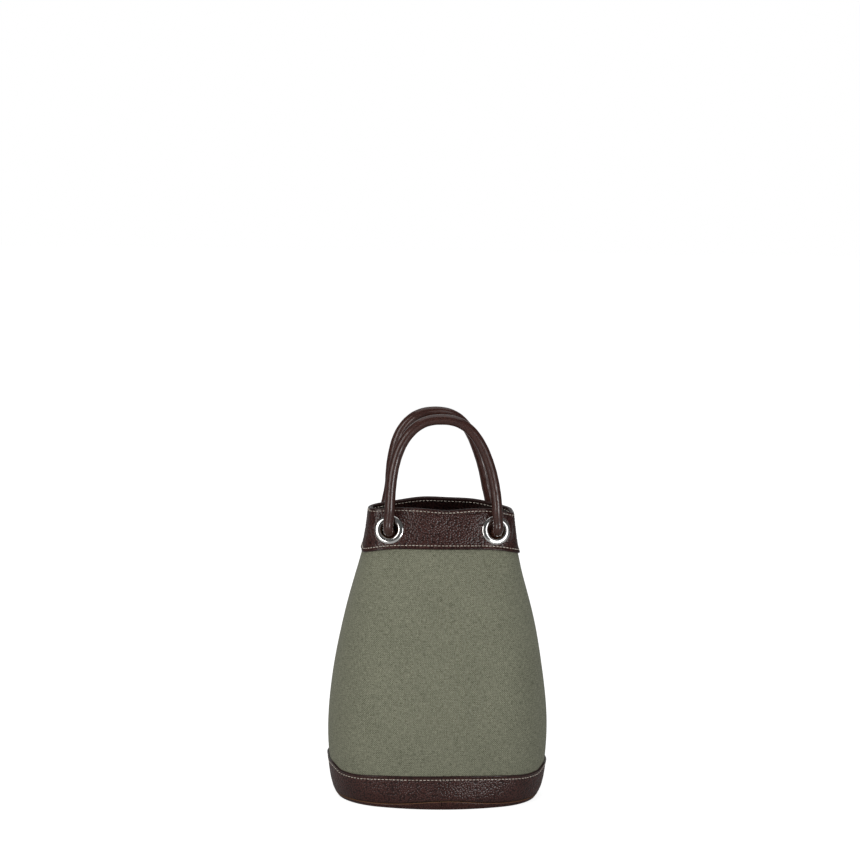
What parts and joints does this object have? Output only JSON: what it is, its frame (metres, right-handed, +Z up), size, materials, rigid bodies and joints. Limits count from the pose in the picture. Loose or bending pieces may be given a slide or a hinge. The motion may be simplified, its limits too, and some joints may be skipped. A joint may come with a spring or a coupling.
{
  "type": "bucket bag",
  "caption": "Free-standing canvas bucket bag with leather bands at mouth and foot, an oval base, metal eyelets and rolled carrying handles that tip over.",
  "frame": {"origin": "middle of the base, on the ground", "axes": "+Z up, -Y to the front of the bag, +X to the right as seen from the front"},
  "size_m": [0.231, 0.174, 0.4072],
  "materials": {
    "canvas": "woven cotton canvas, matt sage green",
    "leather": "pebbled grain, dark brown, soft sheen",
    "handle_leather": "smooth rolled leather, dark brown, satin",
    "polished_metal": "polished nickel plate",
    "lining": "plain woven cotton, matt brown",
    "thread": "cream sewing thread",
    "board": "pressed fibre board",
    "cord": "laid cotton cord"
  },
  "bodies": {
    "bag": {"base_panel": "leather", "base_board": "board", "base_lining": "lining", "base_strip": "leather", "bottom_band_front": "leather", "canvas_front": "canvas", "lining_front": "lining", "top_band_front": "leather", "facing_front": "leather", "eyelet_front_left": "polished_metal", "eyelet_washer_front_left": "polished_metal", "handle_end_front_left": "handle_leather", "eyelet_front_right": "polished_metal", "eyelet_washer_front_right": "polished_metal", "handle_end_front_right": "handle_leather", "bottom_band_rear": "leather", "canvas_rear": "canvas", "lining_rear": "lining", "top_band_rear": "leather", "facing_rear": "leather", "eyelet_rear_left": "polished_metal", "eyelet_washer_rear_left": "polished_metal", "handle_end_rear_left": "handle_leather", "eyelet_rear_right": "polished_metal", "eyelet_washer_rear_right": "polished_metal", "handle_end_rear_right": "handle_leather"},
    "front_handle": {"front_handle_cover": "handle_leather", "front_handle_core": "cord"},
    "rear_handle": {"rear_handle_cover": "handle_leather", "rear_handle_core": "cord"}
  },
  "joints": [
    {"name": "front_handle_tilt", "type": "hinge", "parent": "bag", "child": "front_handle", "pos_m": [0, -0.04165, 0.28808], "axis": [1, 0, 0], "range_deg": [-13, 160]},
    {"name": "rear_handle_tilt", "type": "hinge", "parent": "bag", "child": "rear_handle", "pos_m": [0, 0.04165, 0.28808], "axis": [-1, 0, 0], "range_deg": [-13, 160]}
  ]
}
